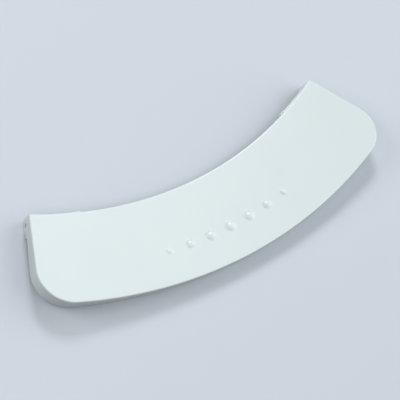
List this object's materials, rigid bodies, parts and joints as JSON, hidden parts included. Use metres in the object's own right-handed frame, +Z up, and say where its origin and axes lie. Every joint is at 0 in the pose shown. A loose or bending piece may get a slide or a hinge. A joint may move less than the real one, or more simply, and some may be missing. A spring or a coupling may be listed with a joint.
{
  "type": "washing machine door handle",
  "caption": "Flat arc-shaped door handle with a sloping face, a row of grip bumps, walls round a hollow underside and a hinge ear with a pin bore at each end.",
  "frame": {"origin": "centre of the bounding box's footprint, at the level of the table the handle lies on", "axes": "+X along the handle from one hinge ear to the other and parallel to the hinge line, +Y from the outer edge towards the centre of the door ring, +Z up out of the face"},
  "size_m": [0.172, 0.06, 0.0116],
  "materials": {
    "white_abs": "cool white moulded ABS with a fine satin gloss"
  },
  "bodies": {
    "root": {"door_handle": "white_abs"}
  },
  "joints": []
}
